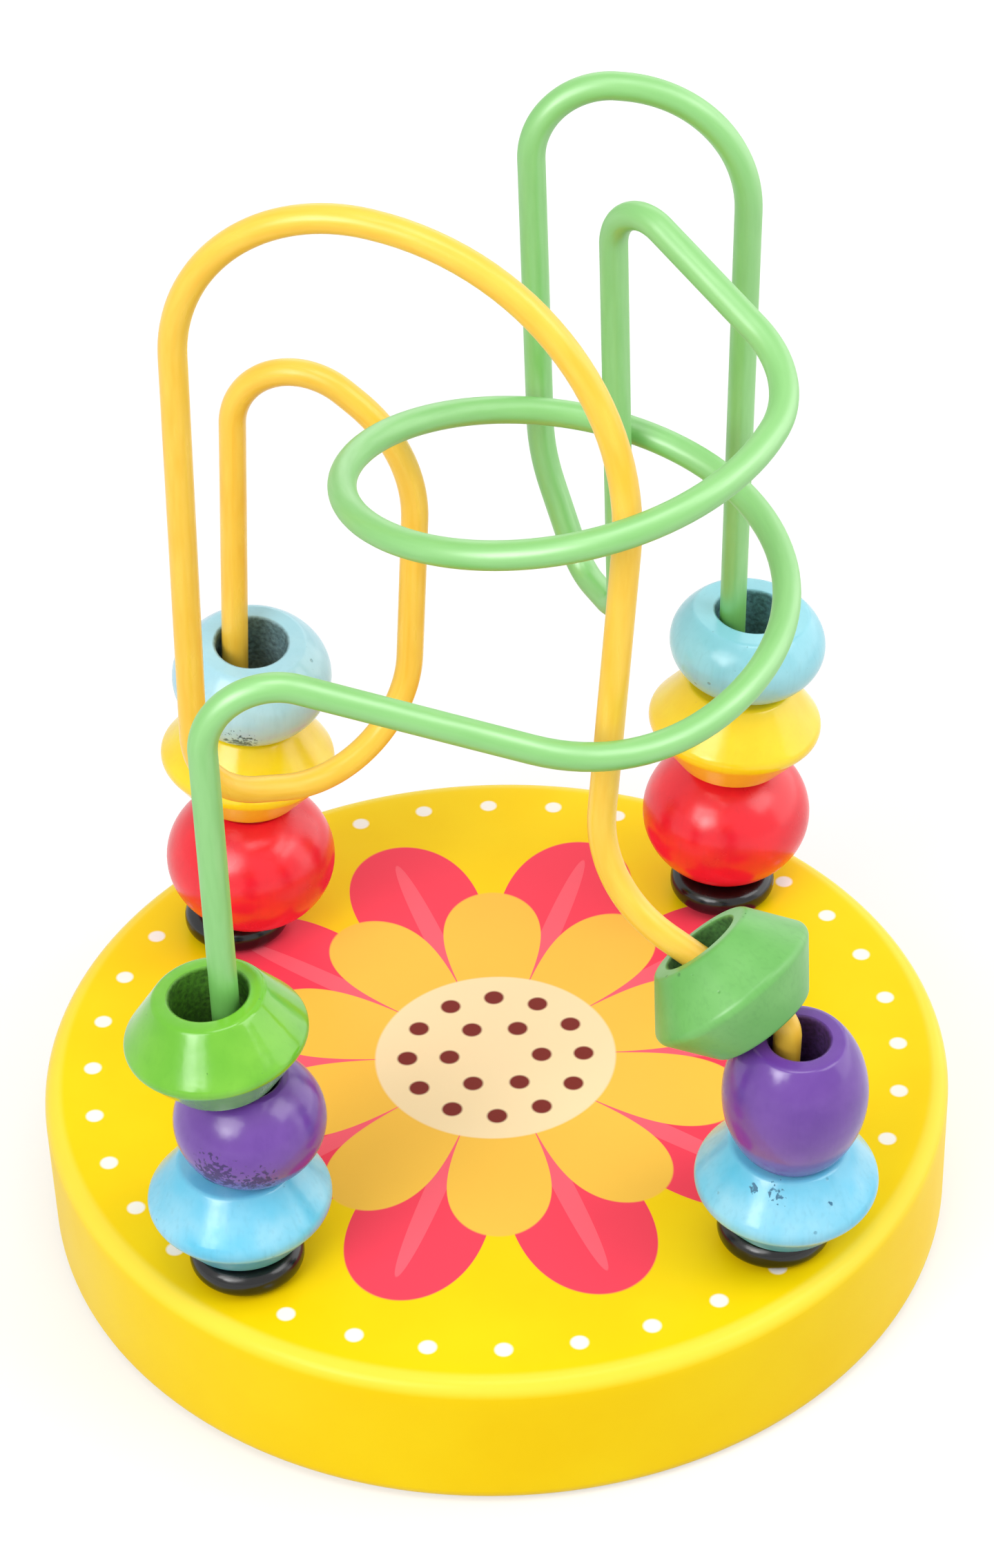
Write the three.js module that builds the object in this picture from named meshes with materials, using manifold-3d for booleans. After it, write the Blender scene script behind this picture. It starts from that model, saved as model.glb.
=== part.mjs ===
// Bead maze toy: a round wooden base, two bent steel wires that stand in it on four posts,
// a collar round the foot of each post, and twelve wooden beads threaded on the wires.
// Millimetres, +Z up. The origin is the middle of the base's underside.
// The front is towards -Y, so left is -X and back is +Y.

import * as THREE from 'three';
import { mergeVertices } from 'three/addons/utils/BufferGeometryUtils.js';
import Module from 'manifold-3d';

// Base
const baseDiameter = 90;
const baseThickness = 15.5;
const baseEdgeRadius = 1.6;
const wireHoleDepth = 10;

// Wires
const wireDiameter = 2.6;
const wireHoleClearance = 0.25;

// Collars
const collarDiameter = 10.8;
const collarHeight = 2.8;
const collarEdgeRadius = 1.2;
const collarClearance = 0.3;

// Beads
const runningGap = 0.3;
const seatGap = 0.3;

// A round bead is an ellipsoid cut flat at both ends, a coned one is two cones base to base
// with a rounded rim.
const beadKinds = {
  ball: { diameter: 17.2, height: 13.5, endDiameter: 7.6, bore: 6.4 },
  disc: { diameter: 17.5, height: 9.7, endDiameter: 10.7, bore: 7.2, rimRadius: 1.3 },
  rondelle: { diameter: 15.6, height: 7.3, endDiameter: 11.6, bore: 7.2 },
  tallRondelle: { diameter: 15.8, height: 9, endDiameter: 10.6, bore: 7.1 },
  saucer: { diameter: 17.2, height: 9.3, endDiameter: 11, bore: 7.2, rimRadius: 1.5 },
  bicone: { diameter: 16.8, height: 9.6, endDiameter: 10.2, bore: 7.2, rimRadius: 0.9 },
  round: { diameter: 14.1, height: 10.3, endDiameter: 7.7, bore: 6 },
  oval: { diameter: 13.4, height: 13.5, endDiameter: 8.6, bore: 5.6 },
};

// Fineness of the facets
const baseSides = 64;
const beadSides = 24;
const collarSides = 18;
const holeSides = 16;
const wireSides = 8;
const edgeSteps = 4;
const beadSteps = 8;
const bendStep = THREE.MathUtils.degToRad(16);

// Feet of the two wires on the base's top face: the direction from the base's middle, turned
// from the right towards the back, and the distance in from the rim
const feet = {
  left_back: { direction: THREE.MathUtils.degToRad(140.8), fromRim: 10.95 },
  right_back: { direction: THREE.MathUtils.degToRad(45.7), fromRim: 10.35 },
  left_front: { direction: THREE.MathUtils.degToRad(229.6), fromRim: 8.25 },
  right_front: { direction: THREE.MathUtils.degToRad(314.2), fromRim: 8 },
};

// The bends of the wires. A bend's place and its height above the base's top face are those of
// the point where its straight runs would meet. A post leans as far as its first bend stands to
// the right and to the back of its foot.
// Yellow wire, from the left back post to the right front one
const smallArch = {
  postLean: [4.2, 0],
  height: 75,
  radius: 7,
  farPlace: [-5.5, 16],
  farHeight: 61.5,
  farRadius: 14,
};
const yellowU = {
  rightPlace: [-8, 13.5],
  rightHeight: 25,
  rightRadius: 11,
  leftPlace: [-27.5, 1],
  leftHeight: 33.5,
  leftRadius: 10,
};
const bigArch = {
  leftPlace: [-25.5, 0],
  leftHeight: 100.5,
  leftRadius: 16,
  rightPlace: [15, -10.5],
  rightHeight: 94,
  rightRadius: 26.5,
};
const slopeRun = {
  topPlace: [9.5, -19.5],
  topHeight: 37.5,
  topRadius: 12.5,
  postLean: [0.7, -1.2],
  riseAboveBeads: 1.6,
  lastRadius: 3,
};

// Green wire, from the left front post to the right back one. Its coil turns anticlockwise
// seen from above and climbs one pitch a turn.
const lowArch = {
  height: 70,
  radius: 6,
};
const coil = {
  centre: [7.9, -1.5],
  radius: 19.8,
  heightAtRight: 57.8,
  pitch: 24,
  start: THREE.MathUtils.degToRad(-46),
  end: THREE.MathUtils.degToRad(332),
  leadIn: 11,
  leadInRadius: 23,
  leadOut: 6.8,
  leadOutRadius: 10,
};
const pointedArch = {
  place: [12.8, 13],
  height: 91.4,
  radius: 4.4,
};
const narrowU = {
  height: 44,
  frontPlace: [13.3, 13.5],
  frontRadius: 2.7,
  backPlace: [9.8, 21],
  backRadius: 3.8,
  widePlace: [6.2, 24],
  wideHeight: 56,
  wideRadius: 20,
};
const tallArch = {
  leftPlace: [5.8, 24.8],
  leftHeight: 95.2,
  leftRadius: 7,
  postLean: [1.8, 0],
  rightHeight: 92.7,
  rightRadius: 13,
};

// Beads of the four posts from the collar upwards. The bores are loose, so a bead stands to
// one side of its wire and leans: shift and lean are shares of the play in its bore, to the
// right and to the back.
const stacks = {
  left_back: [
    { name: 'red_ball', kind: 'ball', colour: '#f2303c', shift: [0.88, -0.45], lean: [0, 0] },
    { name: 'yellow_disc', kind: 'disc', colour: '#ffd81e', shift: [0.57, 0.25], lean: [0.1, 0] },
    { name: 'blue_rondelle', kind: 'tallRondelle', colour: '#9fd8e2', shift: [0.85, -0.3], lean: [0, -0.3] },
  ],
  right_back: [
    { name: 'red_ball', kind: 'ball', colour: '#f2303c', shift: [0.1, 0.48], lean: [0, 0] },
    { name: 'yellow_disc', kind: 'disc', colour: '#ffd81e', shift: [0.32, 0.1], lean: [0.16, 0] },
    { name: 'blue_rondelle', kind: 'rondelle', colour: '#9fd8e2', shift: [0.8, 0.1], lean: [0.15, 0] },
  ],
  left_front: [
    { name: 'blue_saucer', kind: 'saucer', colour: '#7ccdf0', shift: [-0.14, 0.5], lean: [0, 0] },
    { name: 'purple_round', kind: 'round', colour: '#7a4fa8', shift: [0.92, 0.3], lean: [0, 0] },
    { name: 'green_bicone', kind: 'bicone', colour: '#74c63e', shift: [-0.52, 0.05], lean: [-0.2, 0] },
  ],
  right_front: [
    { name: 'blue_saucer', kind: 'saucer', colour: '#7ccdf0', shift: [0.4, 0.1], lean: [0, 0] },
    { name: 'purple_oval', kind: 'oval', colour: '#7a4fa8', shift: [0.8, -0.5], lean: [0, 0] },
  ],
};

// The last bead of the right front post hangs on the sloping run above it, at a distance from
// the last bend, and leans off the line of that run.
const slopeBead = {
  name: 'green_bicone',
  kind: 'bicone',
  colour: '#72c25a',
  fromLastBend: 6.1,
  shift: [-0.06, 0.06],
  lean: [0.72, -0.54],
};

const wasm = await Module();
wasm.setup();

// A closed mesh as a solid that can be cut
function toSolid(geometry) {
  const bare = geometry.clone();
  bare.deleteAttribute('normal');
  bare.deleteAttribute('uv');
  const merged = mergeVertices(bare);
  const triVerts = [];
  const index = merged.index.array;
  for (let i = 0; i < index.length; i += 3) {
    const [a, b, c] = index.slice(i, i + 3);
    if (a !== b && b !== c && c !== a) {
      triVerts.push(a, b, c);
    }
  }
  return new wasm.Manifold(new wasm.Mesh({
    numProp: 3,
    vertProperties: merged.attributes.position.array,
    triVerts: Uint32Array.from(triVerts),
  }));
}

function toGeometry(solid) {
  const mesh = solid.getMesh();
  const geometry = new THREE.BufferGeometry();
  geometry.setAttribute('position', new THREE.BufferAttribute(mesh.vertProperties, 3));
  geometry.setIndex(new THREE.BufferAttribute(mesh.triVerts, 1));
  geometry.computeVertexNormals();
  return geometry;
}

function addPart(parent, name, geometry, { colour, roughness = 0.4, metalness = 0 }) {
  const material = new THREE.MeshStandardMaterial({ color: colour, roughness, metalness });
  const mesh = new THREE.Mesh(geometry, material);
  mesh.name = name;
  parent.add(mesh);
  return mesh;
}

// A profile of radius and height, turned round the Z axis. A path cuts each of its arcs into
// twice the divisions that it is given.
function turned(profile, sides, steps) {
  const geometry = new THREE.LatheGeometry(profile.getPoints(steps / 2), sides);
  geometry.rotateX(Math.PI / 2);
  return geometry;
}

const aboveBase = ([x, y], height) => new THREE.Vector3(x, y, baseThickness + height);
const bendAt = (place, height, radius) => ({ point: aboveBase(place, height), radius });

// The place of a post's foot, or of a point to the right and to the back of it
function besidePost(name, [right, back] = [0, 0]) {
  const { direction, fromRim } = feet[name];
  const reach = baseDiameter / 2 - fromRim;
  return [reach * Math.cos(direction) + right, reach * Math.sin(direction) + back];
}

// A wire's route is the list of stations that its section passes through: one at each end of
// a straight run, and as many round a bend as keep each turn under bendStep.
class WireRoute extends THREE.Curve {
  stations = [];

  add(point, tangent) {
    this.stations.push({ point, tangent });
  }

  station(u) {
    return this.stations[Math.round(u * (this.stations.length - 1))];
  }

  getPoint(u) {
    return this.station(u).point.clone();
  }

  getPointAt(u) {
    return this.getPoint(u);
  }

  getTangentAt(u) {
    return this.station(u).tangent.clone();
  }

  // Round one bend between the points before and after it
  bend(before, corner, after, radius) {
    const arriving = corner.clone().sub(before).normalize();
    const leaving = after.clone().sub(corner).normalize();
    const turn = arriving.angleTo(leaving);
    const start = corner.clone().addScaledVector(arriving, -radius * Math.tan(turn / 2));
    const inward = leaving.clone().addScaledVector(arriving, -Math.cos(turn)).normalize();
    const steps = Math.ceil(turn / bendStep);
    for (let i = 0; i <= steps; i += 1) {
      const angle = (turn * i) / steps;
      const point = start.clone()
        .addScaledVector(arriving, radius * Math.sin(angle))
        .addScaledVector(inward, radius * (1 - Math.cos(angle)));
      const tangent = arriving.clone().multiplyScalar(Math.cos(angle))
        .addScaledVector(inward, Math.sin(angle));
      this.add(point, tangent);
    }
  }

  // Round every bend that lies between a first and a last point
  bends(first, corners, last) {
    const points = [first, ...corners.map((corner) => corner.point), last];
    corners.forEach((corner, i) => {
      this.bend(points[i], corner.point, points[i + 2], corner.radius);
    });
  }

  end(point, from, towards) {
    this.add(point, towards.clone().sub(from).normalize());
  }
}

function sweptWire(route) {
  const section = new THREE.Shape();
  section.absarc(0, 0, wireDiameter / 2, 0, 2 * Math.PI);
  return new THREE.ExtrudeGeometry(section, {
    steps: route.stations.length - 1,
    curveSegments: wireSides / 2,
    extrudePath: route,
  });
}

function coilPoint(angle) {
  const height = coil.heightAtRight + (coil.pitch * angle) / (2 * Math.PI);
  const x = coil.centre[0] + coil.radius * Math.cos(angle);
  const y = coil.centre[1] + coil.radius * Math.sin(angle);
  return aboveBase([x, y], height);
}

function coilTangent(angle) {
  const across = -coil.radius * Math.sin(angle);
  const along = coil.radius * Math.cos(angle);
  return new THREE.Vector3(across, along, coil.pitch / (2 * Math.PI)).normalize();
}

// How far off its wire a bead can stand
const play = (kind) => (beadKinds[kind].bore - wireDiameter) / 2 - runningGap;

// Heights above the base of the pieces on a post, measured along its wire
function beadTilt({ kind, lean }) {
  return Math.atan((Math.hypot(...lean) * play(kind)) / (beadKinds[kind].height / 2));
}

function halfRoom(bead) {
  const { height, endDiameter } = beadKinds[bead.kind];
  const tilt = beadTilt(bead);
  return (height / 2) * Math.cos(tilt) + (endDiameter / 2) * Math.sin(tilt);
}

function stackHeights(beads) {
  let top = seatGap + collarHeight;
  return beads.map((bead) => {
    const middle = top + seatGap + halfRoom(bead);
    top = middle + halfRoom(bead);
    return { middle, top };
  });
}

// The bends of each wire in order
const rightFrontTop = stackHeights(stacks.right_front).at(-1).top;
const lastYellowHeight = rightFrontTop + slopeRun.riseAboveBeads;
const yellowBends = [
  bendAt(besidePost('left_back', smallArch.postLean), smallArch.height, smallArch.radius),
  bendAt(smallArch.farPlace, smallArch.farHeight, smallArch.farRadius),
  bendAt(yellowU.rightPlace, yellowU.rightHeight, yellowU.rightRadius),
  bendAt(yellowU.leftPlace, yellowU.leftHeight, yellowU.leftRadius),
  bendAt(bigArch.leftPlace, bigArch.leftHeight, bigArch.leftRadius),
  bendAt(bigArch.rightPlace, bigArch.rightHeight, bigArch.rightRadius),
  bendAt(slopeRun.topPlace, slopeRun.topHeight, slopeRun.topRadius),
  bendAt(besidePost('right_front', slopeRun.postLean), lastYellowHeight, slopeRun.lastRadius),
];
const coilStart = coilPoint(coil.start);
const coilEnd = coilPoint(coil.end);
const greenFrontBends = [
  bendAt(besidePost('left_front'), lowArch.height, lowArch.radius),
  {
    point: coilStart.clone().addScaledVector(coilTangent(coil.start), -coil.leadIn),
    radius: coil.leadInRadius,
  },
];
const greenBackBends = [
  {
    point: coilEnd.clone().addScaledVector(coilTangent(coil.end), coil.leadOut),
    radius: coil.leadOutRadius,
  },
  bendAt(pointedArch.place, pointedArch.height, pointedArch.radius),
  bendAt(narrowU.frontPlace, narrowU.height, narrowU.frontRadius),
  bendAt(narrowU.backPlace, narrowU.height, narrowU.backRadius),
  bendAt(narrowU.widePlace, narrowU.wideHeight, narrowU.wideRadius),
  bendAt(tallArch.leftPlace, tallArch.leftHeight, tallArch.leftRadius),
  bendAt(besidePost('right_back', tallArch.postLean), tallArch.rightHeight, tallArch.rightRadius),
];

// Each post: its foot, and the bend that its straight run points at
const posts = {
  left_back: { aim: yellowBends[0].point },
  right_back: { aim: greenBackBends.at(-1).point },
  left_front: { aim: greenFrontBends[0].point },
  right_front: { aim: yellowBends.at(-1).point },
};
for (const [name, post] of Object.entries(posts)) {
  post.foot = aboveBase(besidePost(name), 0);
  post.up = post.aim.clone().sub(post.foot).normalize();
  post.wireEnd = post.foot.clone().addScaledVector(post.up, seatGap - wireHoleDepth);
}

// A group whose Z axis points along a direction, with its X axis as near to the right as can be
function standingGroup(origin, direction) {
  const z = direction.clone().normalize();
  const x = new THREE.Vector3(1, 0, 0).projectOnPlane(z).normalize();
  const y = z.clone().cross(x);
  const group = new THREE.Group();
  group.quaternion.setFromRotationMatrix(new THREE.Matrix4().makeBasis(x, y, z));
  group.position.copy(origin);
  return group;
}

function baseDisc() {
  const radius = baseDiameter / 2;
  const profile = new THREE.Path();
  profile.moveTo(0, 0);
  profile.lineTo(radius - baseEdgeRadius, 0);
  profile.absarc(radius - baseEdgeRadius, baseEdgeRadius, baseEdgeRadius, -Math.PI / 2, 0);
  const upper = baseThickness - baseEdgeRadius;
  profile.absarc(radius - baseEdgeRadius, upper, baseEdgeRadius, 0, Math.PI / 2);
  profile.lineTo(0, baseThickness);
  let solid = toSolid(turned(profile, baseSides, edgeSteps));
  for (const { foot, up } of Object.values(posts)) {
    const holeRadius = wireDiameter / 2 + wireHoleClearance;
    const drill = new THREE.CylinderGeometry(holeRadius, holeRadius, 2 * wireHoleDepth, holeSides);
    drill.rotateX(Math.PI / 2);
    const bit = standingGroup(foot, up);
    bit.updateMatrix();
    drill.applyMatrix4(bit.matrix);
    solid = solid.subtract(toSolid(drill));
  }
  return toGeometry(solid);
}

function collar() {
  const inner = wireDiameter / 2 + collarClearance;
  const outer = collarDiameter / 2;
  const profile = new THREE.Path();
  profile.moveTo(inner, 0);
  profile.lineTo(outer - collarEdgeRadius, 0);
  profile.absarc(outer - collarEdgeRadius, collarEdgeRadius, collarEdgeRadius, -Math.PI / 2, 0);
  const upper = collarHeight - collarEdgeRadius;
  profile.absarc(outer - collarEdgeRadius, upper, collarEdgeRadius, 0, Math.PI / 2);
  profile.lineTo(inner, collarHeight);
  profile.lineTo(inner, 0);
  return turned(profile, collarSides, edgeSteps);
}

// A bead round its own bore, with its middle at the origin
function beadShape({ diameter, height, endDiameter, bore, rimRadius }) {
  const half = height / 2;
  const hole = bore / 2;
  const end = endDiameter / 2;
  const rim = diameter / 2;
  const profile = new THREE.Path();
  profile.moveTo(hole, -half);
  profile.lineTo(end, -half);
  if (rimRadius) {
    const centre = rim - rimRadius;
    const reach = Math.hypot(centre - end, half);
    const angle = Math.atan2(half, end - centre) - Math.acos(rimRadius / reach);
    profile.absarc(centre, 0, rimRadius, -angle, angle);
    profile.lineTo(end, half);
  } else {
    const pole = half / Math.sqrt(1 - (end / rim) ** 2);
    const angle = Math.asin(half / pole);
    profile.absellipse(0, 0, rim, pole, -angle, angle, false, 0);
  }
  profile.lineTo(hole, half);
  profile.lineTo(hole, -half);
  return turned(profile, beadSides, beadSteps);
}

// A bead in a group whose Z axis is the wire
function addBead(group, name, bead, height) {
  const mesh = addPart(group, name, beadShape(beadKinds[bead.kind]), { colour: bead.colour });
  const half = beadKinds[bead.kind].height / 2;
  const most = play(bead.kind);
  const axis = new THREE.Vector3(bead.lean[0] * most, bead.lean[1] * most, half).normalize();
  mesh.position.set(bead.shift[0] * most, bead.shift[1] * most, height);
  mesh.quaternion.setFromUnitVectors(new THREE.Vector3(0, 0, 1), axis);
}

const toy = new THREE.Group();

addPart(toy, 'base_disc', baseDisc(), { colour: '#ffdc14' });

const yellowRoute = new WireRoute();
const yellowStart = posts.left_back.wireEnd;
const yellowEnd = posts.right_front.wireEnd;
yellowRoute.end(yellowStart, yellowStart, posts.left_back.aim);
yellowRoute.bends(yellowStart, yellowBends, yellowEnd);
yellowRoute.end(yellowEnd, posts.right_front.aim, yellowEnd);
addPart(toy, 'yellow_wire', sweptWire(yellowRoute), { colour: '#ffcb45', metalness: 0.1 });

const greenRoute = new WireRoute();
const greenStart = posts.left_front.wireEnd;
const greenEnd = posts.right_back.wireEnd;
greenRoute.end(greenStart, greenStart, posts.left_front.aim);
greenRoute.bends(greenStart, greenFrontBends, coilStart);
const coilSteps = Math.ceil((coil.end - coil.start) / bendStep);
for (let i = 0; i <= coilSteps; i += 1) {
  const angle = coil.start + ((coil.end - coil.start) * i) / coilSteps;
  greenRoute.add(coilPoint(angle), coilTangent(angle));
}
greenRoute.bends(coilEnd, greenBackBends, greenEnd);
greenRoute.end(greenEnd, posts.right_back.aim, greenEnd);
addPart(toy, 'green_wire', sweptWire(greenRoute), { colour: '#97df7c', metalness: 0.1 });

// Collars and beads of the four posts
for (const [place, beads] of Object.entries(stacks)) {
  const { foot, up } = posts[place];
  const ring = addPart(toy, `collar_${place}`, collar(), { colour: '#1a1a1d', roughness: 0.3 });
  ring.position.copy(foot).setZ(baseThickness + seatGap);
  const stand = standingGroup(foot, up);
  toy.add(stand);
  const heights = stackHeights(beads);
  beads.forEach((bead, i) => {
    addBead(stand, `${bead.name}_${place}`, bead, heights[i].middle);
  });
}

// The bead on the sloping run
const slopeFoot = posts.right_front.aim;
const slope = standingGroup(slopeFoot, yellowBends.at(-2).point.clone().sub(slopeFoot));
toy.add(slope);
addBead(slope, `${slopeBead.name}_right_front`, slopeBead, slopeBead.fromLastBend);

export default toy;
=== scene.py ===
import math

import bmesh
import bpy
import numpy as np
from mathutils import Matrix, Vector


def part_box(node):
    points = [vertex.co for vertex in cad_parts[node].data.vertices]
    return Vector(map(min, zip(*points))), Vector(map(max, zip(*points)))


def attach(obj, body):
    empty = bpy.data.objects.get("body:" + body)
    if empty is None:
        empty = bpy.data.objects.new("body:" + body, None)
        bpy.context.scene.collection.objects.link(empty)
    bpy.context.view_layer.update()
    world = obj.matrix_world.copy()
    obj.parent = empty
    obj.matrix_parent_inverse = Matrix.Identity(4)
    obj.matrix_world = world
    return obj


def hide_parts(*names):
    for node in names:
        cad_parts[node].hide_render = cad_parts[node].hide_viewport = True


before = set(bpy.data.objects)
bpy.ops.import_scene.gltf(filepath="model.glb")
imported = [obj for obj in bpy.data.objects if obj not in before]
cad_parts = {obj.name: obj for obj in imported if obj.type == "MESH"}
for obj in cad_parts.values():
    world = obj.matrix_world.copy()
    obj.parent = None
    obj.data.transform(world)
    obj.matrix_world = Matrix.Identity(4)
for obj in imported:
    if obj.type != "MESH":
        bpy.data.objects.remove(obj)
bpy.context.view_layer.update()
mm = 0.001
weld = 1e-6  # m, points nearer than this become one
print("frame loaded:", len(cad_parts), "nodes")


# shared helpers

def linear(hexColour):
    # sRGB hex to the linear colour that shaders take
    values = [int(hexColour[i:i + 2], 16) / 255 for i in (1, 3, 5)]
    return [v / 12.92 if v <= 0.04045 else ((v + 0.055) / 1.055) ** 2.4 for v in values] + [1.0]


def addNode(tree, kind, inputs=None, **settings):
    node = tree.nodes.new(kind)
    for key, value in settings.items():
        setattr(node, key, value)
    for key, value in (inputs or {}).items():
        if isinstance(value, bpy.types.NodeSocket):
            tree.links.new(value, node.inputs[key])
        else:
            node.inputs[key].default_value = value
    return node


def newMaterial(name):
    material = bpy.data.materials.new(name)
    material.use_nodes = True
    material.node_tree.nodes.clear()
    return material, material.node_tree


def seenRays(tree):
    # 1 for rays that show the background, straight or in a reflection
    ray = addNode(tree, "ShaderNodeLightPath").outputs
    seen = addNode(tree, "ShaderNodeMath", {0: ray["Is Camera Ray"], 1: ray["Is Glossy Ray"]},
                   operation="MAXIMUM").outputs[0]
    return addNode(tree, "ShaderNodeMath", {0: seen, 1: ray["Is Transmission Ray"]},
                   operation="MAXIMUM").outputs[0]


def unevenCoat(tree, pattern, look, film):
    # a coat that is deeper in colour where the pattern makes it thick, and varies in gloss with it
    thinnest, thickest = film["thickSpan"]
    thick = addNode(tree, "ShaderNodeMapRange",
                    {"Value": pattern, "From Min": thinnest, "From Max": thickest}).outputs[0]
    colour = addNode(tree, "ShaderNodeMix", {0: thick, 6: linear(look["hex"]), 7: linear(look["deepHex"])},
                     data_type="RGBA").outputs[2]
    low, high = film["evenSpan"]
    smoother, rougher = film["glossSpread"]
    gloss = addNode(tree, "ShaderNodeMapRange", {
        "Value": pattern, "From Min": low, "From Max": high,
        "To Min": look["roughness"] + smoother, "To Max": look["roughness"] + rougher}).outputs[0]
    return colour, gloss


def bendPoints(before, corner, after, radius, turnStep):
    # points round one corner of a path, on an arc of this radius
    arriving = (corner - before).normalized()
    leaving = (after - corner).normalized()
    turn = arriving.angle(leaving)
    if radius == 0 or turn < turnStep / 10:
        return [corner]
    start = corner - arriving * radius * math.tan(turn / 2)
    inward = (leaving - arriving * math.cos(turn)).normalized()
    steps = max(3, math.ceil(turn / turnStep))  # three at least, so that a slight bend is still round
    angles = [turn * i / steps for i in range(steps + 1)]
    return [start + (arriving * math.sin(a) + inward * (1 - math.cos(a))) * radius for a in angles]


def roundedPath(corners, turnStep, spacing, closed=False):
    # corners are (point, radius); straight runs are cut up so that no step passes the spacing
    points = []
    for i, (corner, radius) in enumerate(corners):
        before = corners[i - 1][0]
        after = corners[(i + 1) % len(corners)][0]
        isEnd = not closed and i in (0, len(corners) - 1)
        points += [corner] if isEnd else bendPoints(before, corner, after, radius, turnStep)
    path = []
    for i, point in enumerate(points):
        path.append(point)
        if i + 1 < len(points) or closed:
            run = points[(i + 1) % len(points)] - point
            cuts = math.ceil(run.length / spacing)
            path += [point + run * k / cuts for k in range(1, cuts)]
    return path


def turnedMesh(name, profile, sides, closed):
    # turns a profile of (radius, 0, height) round the Z axis
    bm = bmesh.new()
    rings = []
    for s in range(sides):
        turn = Matrix.Rotation(2 * math.pi * s / sides, 3, "Z")
        rings.append([bm.verts.new(turn @ point) for point in profile])
    count = len(profile)
    for s in range(sides):
        here, beside = rings[s], rings[(s + 1) % sides]
        for i in range(count if closed else count - 1):
            k = (i + 1) % count
            bm.faces.new((here[i], beside[i], beside[k], here[k]))
    bmesh.ops.remove_doubles(bm, verts=bm.verts, dist=weld)
    bmesh.ops.dissolve_degenerate(bm, edges=bm.edges, dist=weld / 10)
    bmesh.ops.recalc_face_normals(bm, faces=bm.faces)
    mesh = bpy.data.meshes.new(name)
    bm.to_mesh(mesh)
    bm.free()
    mesh.shade_smooth()
    return mesh


def storeOnPoints(mesh, name, kind, values):
    attribute = mesh.attributes.new(name, kind, "POINT")
    field = "vector" if kind == "FLOAT_VECTOR" else "value"
    attribute.data.foreach_set(field, np.asarray(values, np.float32).ravel())


def addPiece(mesh, node, body, material):
    piece = bpy.data.objects.new(f"{node}_finish", mesh)
    bpy.context.scene.collection.objects.link(piece)
    mesh.materials.clear()
    mesh.materials.append(material)
    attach(piece, body)
    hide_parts(node)


def turnedSizes(node):
    # place and sizes of a turned CAD node: its axis is the odd one out of its three main axes
    points = np.array([v.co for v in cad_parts[node].data.vertices])
    middle = points.mean(0)
    spread, axes = np.linalg.eigh(np.cov((points - middle).T))
    odd = 0 if spread[1] - spread[0] > spread[2] - spread[1] else 2
    up = Vector(axes[:, odd])
    up = -up if up.z < 0 else up
    right = (Vector((1, 0, 0)) - up * up.x).normalized()
    place = Matrix((right, up.cross(right), up)).transposed().to_4x4()
    place.translation = Vector(middle)
    local = np.array([place.inverted() @ Vector(p) for p in points])
    radii = np.hypot(local[:, 0], local[:, 1])
    half = local[:, 2].max()
    endLayer = 0.05 * mm
    atEnd = radii[local[:, 2] > half - endLayer]
    return {"place": place, "half": half, "rim": radii.max(), "bore": radii.min(), "end": atEnd.max()}


# painted wood of the beads

# each paint's last colour is the painted shade put into its bore
beadPaints = {
    "red_ball": {
        "name": "redEnamelOnBeech", "hex": "#f41a2d", "deepHex": "#e0142a", "scuffHex": "#a0141f",
        "boreShadeHex": "#4a0a10", "roughness": 0.24, "grain": 0.5, "pits": 0.0},
    "yellow_disc": {
        "name": "yellowEnamelOnBeech", "hex": "#ffe022", "deepHex": "#fdd414", "scuffHex": "#d79a08",
        "boreShadeHex": "#6a4a06", "roughness": 0.2, "grain": 0.5, "pits": 0.0},
    "blue_rondelle_left_back": {
        "name": "iceBlueEnamelOnBeech", "hex": "#b4e0ec", "deepHex": "#a4d6e6", "scuffHex": "#3f6a78",
        "boreShadeHex": "#1d3338", "roughness": 0.19, "grain": 0.5, "pits": 0.2},
    "blue_rondelle_right_back": {
        "name": "paleBlueEnamelOnBeech", "hex": "#9adbe8", "deepHex": "#88cedd", "scuffHex": "#3f6a78",
        "boreShadeHex": "#1d3338", "roughness": 0.19, "grain": 0.6, "pits": 0.25},
    "blue_saucer": {
        "name": "skyBlueEnamelOnBeech", "hex": "#93d6ec", "deepHex": "#62c6e6", "scuffHex": "#2f6f8e",
        "boreShadeHex": "#16384a", "roughness": 0.18, "grain": 0.8, "pits": 0.2},
    "purple_round": {
        "name": "purpleEnamelOnBeech", "hex": "#774aa9", "deepHex": "#66399a", "scuffHex": "#3c2066",
        "boreShadeHex": "#170a28", "roughness": 0.2, "grain": 0.5, "pits": 0.0},
    "green_bicone_left_front": {
        "name": "leafGreenEnamelOnBeech", "hex": "#7bc634", "deepHex": "#68b726", "scuffHex": "#2d6a14",
        "boreShadeHex": "#0f2c08", "roughness": 0.16, "grain": 0.5, "pits": 0.0},
    "green_bicone_right_front": {
        "name": "meadowGreenEnamelOnBeech", "hex": "#72b960", "deepHex": "#63ab52", "scuffHex": "#2c6a26",
        "boreShadeHex": "#123214", "roughness": 0.36, "grain": 0.9, "pits": 0.3},
}
beadPaints["purple_oval"] = beadPaints["purple_round"]
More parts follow.
